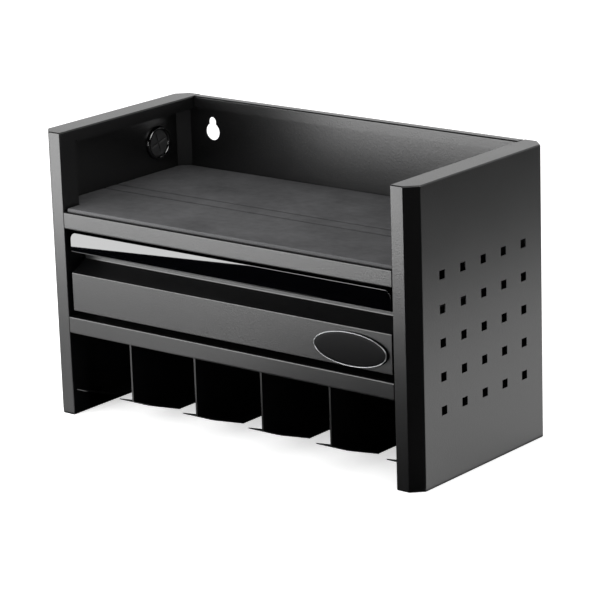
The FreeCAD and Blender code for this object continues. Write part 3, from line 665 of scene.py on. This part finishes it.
@dataclass
class Cabinet:
    """Folded sheet steel: side panels, back, shelves, slide brackets and tool holders."""

    sheets: tuple[str, ...] = (
        "left_side_panel", "right_side_panel", "back_panel", "upper_shelf", "lower_shelf",
        "slide_bracket_left", "slide_bracket_right",
    )

    def dress(self) -> None:
        """Coats every sheet."""
        names = list(self.sheets) + [f"tool_holder_{i + 1}" for i in range(HOLDERS)]
        dress(names, PowderCoat("powder_coated_sheet_steel"))


@dataclass
class FoamMat:
    """The mat on the upper shelf, cut to the bay's outline."""

    narrow_mm: float = 234.2
    step_y_mm: float = -97.2
    cuts: int = 60
    edge_mm: float = 0.7
    dent_mm: float = 0.45
    wave_mm: float = 55.0
    wave_squeeze: float = 0.4
    crease_depth_mm: float = 0.9
    crease_width_mm: float = 1.5
    crease_cuts: int = 2
    side_turn_deg: float = 60.0
    fill: float = 0.9

    def build(self) -> bpy.types.Object:
        """Cuts the mat from a plane, gives it its thickness, and makes it lie a little uneven.

        Returns:
            The mat.
        """
        low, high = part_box("shelf_mat")
        middle = (low + high) / 2
        bpy.ops.object.select_all(action="DESELECT")
        bpy.ops.mesh.primitive_plane_add(size=1.0, location=(middle.x, middle.y, low.z))
        mat = bpy.context.object
        mat.name = mat.data.name = "foam_mat"
        mat.scale = (high.x - low.x, high.y - low.y, 1.0)
        bpy.ops.object.transform_apply(location=True, rotation=True, scale=True)
        narrow, step_y = self.narrow_mm * MM, self.step_y_mm * MM
        corner = self.rear_corner()
        with edit_mode(mat):
            bpy.ops.mesh.select_all(action="SELECT")
            bpy.ops.mesh.subdivide(number_cuts=self.cuts)
            self.cut((0.0, step_y, 0.0), (0.0, 1.0, 0.0))
            for crease in MAT_CREASES_MM:
                for offset in range(-self.crease_cuts, self.crease_cuts + 1):
                    y = (crease + offset * self.crease_width_mm) * MM
                    self.cut((0.0, y, 0.0), (0.0, 1.0, 0.0))
            for side in (-1, 1):
                self.cut((side * narrow, 0.0, 0.0), (side, 0.0, 0.0))
                self.cut((side * corner, 0.0, 0.0), (side, 1.0, 0.0), clear_outer=True)
            pick(mat, Part.FACES, lambda f: self.in_notch(f.calc_center_median(), narrow, step_y))
            bpy.ops.mesh.delete(type="FACE")
            bpy.ops.mesh.select_all(action="SELECT")
            thickness = {"value": (0.0, 0.0, high.z - low.z)}
            bpy.ops.mesh.extrude_region_move(TRANSFORM_OT_translate=thickness)
            bpy.ops.mesh.select_all(action="SELECT")
            bpy.ops.mesh.normals_make_consistent(inside=False)
            pick(mat, Part.EDGES, lambda e: self.on_top_edge(e, high.z))
            bpy.ops.mesh.bevel(offset=self.edge_mm * MM, segments=3, affect="EDGES")
        self.lay(mat, low.z, high.z)
        return settle(mat, crease_deg=40.0)

    def rear_corner(self) -> float:
        """Finds where the 45 degree rear corner's line meets y = 0, from the CAD mat.

        Returns:
            The sum of x and y on that line, in metres.
        """
        return max(v.co.x + v.co.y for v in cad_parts["shelf_mat"].data.vertices)

    @staticmethod
    def cut(point: Sequence[float], normal: Sequence[float], clear_outer: bool = False) -> None:
        """Bisects the open mat, all of it, along a plane."""
        bpy.ops.mesh.select_all(action="SELECT")
        bpy.ops.mesh.bisect(plane_co=point, plane_no=normal, clear_outer=clear_outer)

    @staticmethod
    def in_notch(place: Vector, narrow: float, step_y: float) -> bool:
        """Says whether a point is in the notch beside a front lip."""
        return abs(place.x) > narrow and place.y < step_y

    def on_top_edge(self, edge: bmesh.types.BMEdge, top: float) -> bool:
        """Says whether an edge runs between the top and a side."""
        level = all(v.co.z > top - PLACE_SLACK for v in edge.verts)
        return level and edge.calc_face_angle(0.0) > math.radians(self.side_turn_deg)

    def lay(self, mat: bpy.types.Object, low: float, high: float) -> None:
        """Sinks the top in slow waves and along the folds it was packed with.

        Args:
            mat: The mat.
            low: Height of its underside.
            high: Height of its top.
        """
        for vertex in mat.data.vertices:
            share = max(0.0, (vertex.co.z - low) / (high - low))
            at = vertex.co / (self.wave_mm * MM)
            wave = 0.5 + 0.5 * noise.noise(Vector((at.x * self.wave_squeeze, at.y, 0.0)))
            sink = self.dent_mm * wave
            for crease in MAT_CREASES_MM:
                reach = (vertex.co.y / MM - crease) / self.crease_width_mm
                sink += self.crease_depth_mm * math.exp(-reach * reach)
            vertex.co.z -= sink * MM * share

    def dress(self, mat: bpy.types.Object) -> None:
        """Lays the foam on the cabinet in its CAD solid's place."""
        stand_for(mat, "cabinet", ["shelf_mat"], EvaFoam("skived_eva_foam").material())


@dataclass
class CableGrommet:
    """A round outlet in the left side panel: a glossy ring with four soft petals."""

    wall_x_mm: float = -266.3
    panel_mm: float = 1.2
    outer_mm: float = 20.7
    neck_mm: float = 17.45
    bore_mm: float = 15.65
    foot_mm: tuple[float, float] = (0.2, 0.25)
    crown_mm: float = 4.4
    crest_share: float = 0.6
    lead_in_mm: float = 3.0
    points: int = 72
    petal_mm: float = 1.2
    petal_back_mm: float = 0.6
    petal_gap_mm: float = 0.05
    petal_rings: tuple[float, ...] = (0.88, 0.76, 0.64, 0.52, 0.4, 0.28, 0.16, 0.08)
    slit_mm: float = 3.0
    slit_cuts: tuple[float, ...] = (-1.0, -0.5, 0.0, 0.5, 1.0)
    # depths below the petals' face where the painted shade in the slits is full, and where it ends
    painted_slit_shade_depths_mm: tuple[float, float] = (0.5, 0.15)
    groove_mm: float = 0.9
    rim_mm: float = 2.2
    fade_mm: float = 1.5
    turn_deg: float = 18.0
    puff_mm: float = 0.2
    puff_width_mm: float = 3.6

    def build(self) -> list[bpy.types.Object]:
        """Turns the ring and cuts the petals.

        Returns:
            The ring and the petals.
        """
        low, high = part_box("cable_grommet")
        seat = Vector((self.wall_x_mm * MM, (low.y + high.y) / 2, (low.z + high.z) / 2))
        return [self.ring(seat), self.petals(seat)]

    def ring(self, seat: Vector) -> bpy.types.Object:
        """Builds the ring as a rounded flange with a neck through the panel.

        Args:
            seat: The middle of the hole, on the panel's inner face.

        Returns:
            The ring.
        """
        inset, rise = self.foot_mm
        crest = circle(self.outer_mm - self.crown_mm * self.crest_share, self.crown_mm)
        rings = [circle(self.neck_mm, 0.0), circle(self.outer_mm - inset, 0.0), circle(self.outer_mm, rise)]
        rings += arc(rings[-1], crest, 8, True)
        rings += arc(crest, circle(self.bore_mm, self.crown_mm - self.lead_in_mm), 6, False)
        rings += [circle(self.bore_mm, -self.panel_mm), circle(self.neck_mm, -self.panel_mm)]
        return stack("grommet_ring", seat, Axis.INWARD_FROM_LEFT, rings, Shell.LOOPED, self.points)

    def petals(self, seat: Vector) -> bpy.types.Object:
        """Builds a disc of rings, sinks its closed slits crosswise and puffs each petal a little.

        Args:
            seat: The middle of the hole, on the panel's inner face.

        Returns:
            The petals.
        """
        edge = self.bore_mm - self.petal_gap_mm
        reach = edge - self.rim_mm
        steps = [edge, reach] + [reach * share for share in self.petal_rings]
        back, front = self.petal_back_mm, self.petal_back_mm + self.petal_mm
        rings = [circle(r, back) for r in steps[::-1]] + [circle(r, front) for r in steps]
        disc = stack(
            "grommet_petal_disc", seat, Axis.INWARD_FROM_LEFT, rings, Shell.CAPPED, self.points
        )
        half = self.slit_mm * MM / 2
        normals = [
            Vector((0.0, math.cos(a), math.sin(a)))
            for a in (math.radians(self.turn_deg), math.radians(self.turn_deg + 90))
        ]
        with edit_mode(disc):
            for normal in normals:
                for side in self.slit_cuts:
                    bpy.ops.mesh.select_all(action="SELECT")
                    bpy.ops.mesh.bisect(plane_co=seat + normal * half * side, plane_no=normal)
        face_x = seat.x + front * MM
        for vertex in disc.data.vertices:
            if vertex.co.x < face_x - PLACE_SLACK:
                continue
            away = vertex.co - seat
            radius = math.hypot(away.y, away.z) / MM
            off = min(abs(away.dot(n)) for n in normals)
            fade = min(1.0, max(0.0, (reach - radius) / self.fade_mm))
            groove = self.groove_mm * max(0.0, 1.0 - off / half)
            puff = self.puff_mm * (1.0 - min(1.0, off / (self.puff_width_mm * MM))) ** 2
            vertex.co.x -= (groove + puff) * fade * MM
        disc.name = disc.data.name = "grommet_petal_set"
        return settle(disc, crease_deg=50.0)

    def dress(self, ring: bpy.types.Object, petals: bpy.types.Object) -> None:
        """Sets the ring and the petals in the left side panel.

        Args:
            ring: The ring.
            petals: The petals.
        """
        gloss = GlossyMoulding("polished_black_abs_ring", line_stretch=1.0, roughness=(0.08, 0.13))
        face = self.wall_x_mm + self.petal_back_mm + self.petal_mm - self.puff_mm
        deep, shallow = self.painted_slit_shade_depths_mm
        rubber = SatinMoulding(
            "moulded_black_rubber", shade="#2C2C2D", worn="#373738", painted_slit_shade_x_mm=(face - deep, face - shallow)
        )
        stand_for(ring, "cabinet", ["cable_grommet"], gloss.material())
        stand_for(petals, "cabinet", ["grommet_petals"], rubber.material())


@dataclass
class BlindRivets:
    """Rivets that hold the tool holders to the lower shelf."""

    head_mm: float = 3.6
    head_profile: tuple[tuple[float, float], ...] = ((0.62, 0.0), (0.88, 0.12), (1.0, 0.36))
    dome_mm: float = 0.5
    shank_mm: float = 2.0
    grip_mm: float = 2.2
    bulb_mm: float = 3.0
    bulb_height_mm: float = 1.2
    bulb_wall_share: float = 0.35
    mandrel_mm: float = 1.1
    mandrel_profile: tuple[tuple[float, float], ...] = ((0.9, 0.35), (1.0, 0.02))
    points: int = 24

    def build(self) -> bpy.types.Object:
        """Models one rivet and copies it to every place.

        Returns:
            All the rivets as one piece.
        """
        low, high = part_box("holder_rivets")
        rows = (low.y + self.head_mm * MM, high.y - self.head_mm * MM)
        top = self.grip_mm + self.dome_mm
        bulb = circle(self.bulb_mm, top + self.bulb_height_mm * self.bulb_wall_share)
        rings = [circle(self.mandrel_mm * share, depth) for share, depth in self.mandrel_profile]
        rings += [circle(self.head_mm * share, depth) for share, depth in self.head_profile]
        rings += [circle(self.head_mm, self.dome_mm), circle(self.shank_mm, self.dome_mm)]
        rings += [circle(self.shank_mm, top), circle(self.bulb_mm, top), bulb]
        rings += arc(bulb, circle(self.mandrel_mm, top + self.bulb_height_mm), 3, True)
        foot = Vector((0.0, 0.0, low.z))
        first = stack("holder_blind_rivets", foot, Axis.UP, rings, Shell.CAPPED, self.points)
        middle = (HOLDERS - 1) / 2
        places = [
            Vector(((i - middle + side / 4) * HOLDER_PITCH_MM * MM, y, 0.0))
            for i in range(HOLDERS) for side in (-1, 1) for y in rows
        ]
        copies = []
        for place in places:
            copy = bpy.data.objects.new(first.name, first.data.copy())
            bpy.context.collection.objects.link(copy)
            copy.data.transform(Matrix.Translation(place))
            copies.append(copy)
        bpy.data.objects.remove(first)
        bpy.ops.object.select_all(action="DESELECT")
        for copy in copies:
            copy.select_set(True)
        bpy.context.view_layer.objects.active = copies[0]
        bpy.ops.object.join()
        rivets = bpy.context.object
        rivets.name = rivets.data.name = "holder_blind_rivets"
        return rivets

    def dress(self, rivets: bpy.types.Object) -> None:
        """Sets the rivets in the holders, and gives the other rivets and screws the same steel.

        Args:
            rivets: All the holders' rivets.
        """
        steel = BareMetal(
            "turned_rivet_steel", bright="#8E8F91", dull="#77787A", stretch=(1.0, 1.0, 1.0),
            roughness=(0.3, 0.42),
        )
        stand_for(rivets, "cabinet", ["holder_rivets"], steel.material())
        dress(["slide_rivets", "drawer_rivets", "pull_screws"], steel)


@dataclass
class Drawer:
    """The drawer's sheet metal and its full-width pull."""

    sheets: tuple[str, ...] = ("drawer_tray", "drawer_front")
    pull: tuple[str, ...] = ("drawer_pull", "pull_cap_left", "pull_cap_right")

    def dress(self) -> None:
        """Coats the sheets, and gives the pull its polish."""
        dress(self.sheets, PowderCoat("powder_coated_drawer_sheet"))
        dress(self.pull[:1], GlossyMoulding("extruded_gloss_black_abs"))
        dress(self.pull[1:], GlossyMoulding("moulded_gloss_black_abs_cap", line_stretch=1.0))


@dataclass
class OvalBadge:
    """An oval badge with a bare field and a thin bright bezel."""

    proud_mm: float = 2.6
    round_mm: float = 0.4
    field_mm: float = 3.1
    field_lip_mm: float = 0.2
    field_round_mm: float = 0.4
    crown_mm: float = 0.25
    dome_rings: tuple[float, ...] = (0.85, 0.65, 0.45, 0.25, 0.08)
    bezel_mm: float = 1.2
    bezel_gap_mm: float = 0.02
    bezel_foot_mm: float = 0.15
    bezel_proud_mm: float = 3.6
    body_points: int = 128
    bezel_points: int = 160

    def build(self) -> list[bpy.types.Object]:
        """Builds the domed body and the bezel that sits on its edge.

        Returns:
            The body and the bezel.
        """
        low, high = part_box("badge_plate")
        centre = Vector(((low.x + high.x) / 2, high.y, (low.z + high.z) / 2))
        across, up = (high.x - low.x) / 2 / MM, (high.z - low.z) / 2 / MM
        return [self.body(centre, across, up), self.bezel(centre, across, up)]

    def body(self, centre: Vector, across: float, up: float) -> bpy.types.Object:
        """Builds the body, with its field standing proud inside the bezel.

        Args:
            centre: The middle of its back.
            across: Half its width in millimetres.
            up: Half its height in millimetres.

        Returns:
            The body.
        """
        wide = Ring(across, up, self.proud_mm - self.round_mm)
        rings = [Ring(across, up, 0.0), wide]
        rings += arc(wide, Ring(across - self.round_mm, up - self.round_mm, self.proud_mm), 4, True)
        inset = self.bezel_mm + self.bezel_gap_mm
        field_edge = Ring(across - inset, up - inset, self.proud_mm)
        rings += [field_edge, Ring(field_edge.across, field_edge.up, self.field_mm - self.field_lip_mm)]
        curve = self.field_round_mm
        field_top = Ring(field_edge.across - curve, field_edge.up - curve, self.field_mm)
        rings += arc(rings[-1], field_top, 3, True)
        edge = rings[-1]
        for share in self.dome_rings:
            dome = self.field_mm + self.crown_mm * (1 - share * share)
            rings.append(Ring(edge.across * share, edge.up * share, dome))
        return stack("badge_body", centre, Axis.FRONT, rings, Shell.CAPPED, self.body_points)

    def bezel(self, centre: Vector, across: float, up: float) -> bpy.types.Object:
        """Builds the bezel as a half-round wire bent to the oval.

        Args:
            centre: The middle of the badge's back.
            across: Half its width in millimetres.
            up: Half its height in millimetres.

        Returns:
            The bezel.
        """
        half = self.bezel_mm / 2
        wall = self.proud_mm + self.bezel_foot_mm
        outer = Ring(across, up, wall)
        crest = Ring(across - half, up - half, self.bezel_proud_mm)
        inner = Ring(across - self.bezel_mm, up - self.bezel_mm, wall)
        rings = [Ring(across, up, self.proud_mm), outer] + arc(outer, crest, 6, True)
        rings += arc(crest, inner, 6, False) + [Ring(inner.across, inner.up, self.proud_mm)]
        return stack("badge_bezel", centre, Axis.FRONT, rings, Shell.LOOPED, self.bezel_points)

    def dress(self, body: bpy.types.Object, bezel: bpy.types.Object) -> None:
        """Fixes the badge to the drawer's front.

        Args:
            body: The badge's body.
            bezel: Its bright bezel.
        """
        field = SatinMoulding(
            "moulded_black_abs_badge", shade="#0A0A0B", worn="#0E0E0F", roughness=0.3, specular=0.12
        )
        chrome = BareMetal(
            "satin_chromed_abs", bright="#D6D7D9", dull="#C8C9CB", stretch=(1.0, 1.0, 1.0),
            roughness=(0.30, 0.38), depth_mm=0.001,
        )
        stand_for(body, "drawer", ["badge_plate"], field.material())
        stand_for(bezel, "drawer", ["badge_rim"], chrome.material())


@dataclass
class Slides:
    """Three-member ball-bearing slides, one on each side of the drawer."""

    members: tuple[str, ...] = ("outer", "middle", "inner")
    sides: tuple[str, ...] = ("left", "right")
    cages: tuple[str, ...] = ("outer_ball_cages", "inner_ball_cages")

    def dress(self) -> None:
        """Plates the members and brightens the balls and cages."""
        names = [f"slide_{member}_{side}" for member in self.members for side in self.sides]
        dress(names, BareMetal("zinc_plated_strip_steel"))
        dress(self.cages, BareMetal(
            "polished_ball_cage_steel", bright="#D2D3D5", dull="#BDBEC1", roughness=(0.14, 0.24)
        ))


@dataclass(frozen=True)
class Panel:
    """A flat sheet of the studio, facing a given way. Sizes are in metres."""

    name: str
    centre: tuple[float, float, float]
    aim: tuple[float, float, float]
    width: float
    height: float

    def place(self) -> Matrix:
        """Gives the matrix that stands a sheet at the centre, its face along the aim."""
        turn = Vector(self.aim).to_track_quat("-Z", "Y")
        return Matrix.Translation(Vector(self.centre)) @ turn.to_matrix().to_4x4()


@dataclass(frozen=True)
class Softbox(Panel):
    """A flat soft lamp, out of the camera's sight."""

    radiance: float

    def build(self) -> None:
        """Hangs the lamp, with a power that gives its face the stated radiance."""
        lamp = bpy.data.lights.new(self.name, "AREA")
        lamp.shape = "RECTANGLE"
        lamp.size, lamp.size_y = self.width, self.height
        lamp.energy = self.radiance * math.pi * self.width * self.height
        holder = bpy.data.objects.new(self.name, lamp)
        bpy.context.collection.objects.link(holder)
        holder.matrix_world = self.place()
        holder.visible_camera = False


@dataclass(frozen=True)
class Sheet(Panel):
    """A flat sheet that isn't part of the rack, such as the floor or a card."""

    finish: Finish
    reflected_only: bool = False

    def build(self) -> None:
        """Lays the sheet. A card is met by reflections alone, so it casts no shadow and is never seen."""
        bpy.ops.object.select_all(action="DESELECT")
        bpy.ops.mesh.primitive_plane_add(size=1.0)
        sheet = bpy.context.object
        sheet.name = sheet.data.name = self.name
        sheet.matrix_world = self.place() @ Matrix.Diagonal((self.width, self.height, 1.0, 1.0))
        bpy.ops.object.transform_apply(location=True, rotation=True, scale=True)
        sheet.data.materials.append(self.finish.material())
        if self.reflected_only:
            sheet.visible_camera = False
            sheet.visible_diffuse = False
            sheet.visible_transmission = False
            sheet.visible_shadow = False
            sheet.visible_volume_scatter = False


def reflection_cards() -> list[Sheet]:
    """Sets out the cards that shape the reflections.

    Returns:
        Black flags over the floor, open at the rack's right, and round and over the space in front, a lit
        board at the rack's left foot and a lit card high at the right.
    """
    black = Card("black_flag_cloth")
    grey = Card("lit_grey_board", glow=1.0)
    white = Card("lit_white_card", glow=5.0)
    low = 0.5 * MM
    front, left, right = (0.0, 1.0, 0.0), (1.0, 0.0, 0.0), (-1.0, 0.0, 0.0)
    down, up = (0.0, 0.0, -1.0), (0.0, 0.0, 1.0)
    rows = [
        ("flag_floor_left", (-2.865, 0.0, low), up, 6.27, 12.0, black),
        ("flag_floor_front", (3.135, -3.0575, low), up, 5.73, 5.885, black),
        ("flag_floor_right", (3.36, 2.935, low), up, 5.28, 6.13, black),
        ("board_floor", (-0.735, -0.364, 2 * low), up, 1.17, 0.472, grey),
        ("flag_front", (0.5, -3.6, 2.0), front, 8.0, 4.0, black),
        ("flag_left", (-3.5, -1.7, 2.0), left, 3.8, 4.0, black),
        ("flag_right", (4.5, -1.7, 2.0), right, 3.8, 4.0, black),
        ("flag_over", (0.25, -0.2, 2.5), down, 8.5, 6.8, black),
        ("card_high_right", (1.02, -0.12, 1.04), (-0.85, 0.1, -0.5), 0.8, 0.8, white),
    ]
    return [Sheet(*row, reflected_only=True) for row in rows]


@dataclass(frozen=True)
class Studio:
    """The floor, the lamps, the light all round and the camera."""

    floor_size: float = 12.0
    ambient: float = 0.9
    azimuth_deg: float = 39.1752
    elevation_deg: float = 15.9076
    roll_deg: float = -1.85457
    camera_at: tuple[float, float, float] = (2.0617942, -2.5187875, 1.0747400)
    lens_mm: float = 176.927
    sensor_mm: float = 36.0
    softboxes: tuple[Softbox, ...] = (
        Softbox("key_softbox", (-0.5745, -0.6619, 0.27), (0.1937, 0.981, 0.0), 1.085, 0.50, 5.0),
        Softbox("rear_left_softbox", (-1.5, 1.6, 0.9), (0.6, -0.75, -0.3), 1.4, 0.8, 0.15),
    )

    def build(self) -> None:
        """Sets the whole studio."""
        paper = StudioFloor("seamless_white_paper")
        size = self.floor_size
        Sheet("studio_floor", (0.0, 0.0, 0.0), (0.0, 0.0, 1.0), size, size, paper).build()
        for item in [*reflection_cards(), *self.softboxes]:
            item.build()
        self.world()
        self.camera()
        bpy.context.scene.view_settings.view_transform = "Standard"

    def world(self) -> None:
        """Lights the scene evenly, and is white wherever it is seen."""
        world = bpy.data.worlds.new("white_studio")
        world.use_nodes = True
        tree = world.node_tree
        tree.nodes.clear()
        strength = add_node(
            tree, "MapRange", {"Value": seen_ray(tree), "To Min": self.ambient, "To Max": 1.0}
        ).outputs[0]
        light = add_node(tree, "Background", {"Color": linear("#FFFFFF"), "Strength": strength})
        add_node(tree, "OutputWorld", {"Surface": light.outputs[0]})
        bpy.context.scene.world = world

    def camera(self) -> None:
        """Stands the camera where the photograph was taken from."""
        azimuth, elevation, roll = (
            math.radians(a) for a in (self.azimuth_deg, self.elevation_deg, self.roll_deg)
        )
        level = Vector((math.sin(azimuth), -math.cos(azimuth), 0.0))
        back = level * math.cos(elevation) + Vector((0.0, 0.0, math.sin(elevation)))
        right = Vector((math.cos(azimuth), math.sin(azimuth), 0.0))
        up = back.cross(right)
        across = right * math.cos(roll) + up * math.sin(roll)
        upright = up * math.cos(roll) - right * math.sin(roll)
        data = bpy.data.cameras.new("photo_camera")
        data.lens = self.lens_mm
        data.sensor_fit = "HORIZONTAL"
        data.sensor_width = self.sensor_mm
        camera = bpy.data.objects.new("photo_camera", data)
        bpy.context.collection.objects.link(camera)
        turn = Matrix((across, upright, back)).transposed().to_4x4()
        camera.matrix_world = Matrix.Translation(Vector(self.camera_at)) @ turn
        bpy.context.scene.camera = camera


def main() -> None:
    logging.basicConfig(level=logging.INFO, format="%(message)s")
    Studio().build()
    Cabinet().dress()
    mat = FoamMat()
    mat.dress(mat.build())
    grommet = CableGrommet()
    grommet.dress(*grommet.build())
    rivets = BlindRivets()
    rivets.dress(rivets.build())
    Drawer().dress()
    badge = OvalBadge()
    badge.dress(*badge.build())
    Slides().dress()
    bpy.context.view_layer.update()


if __name__ == "__main__":
    main()
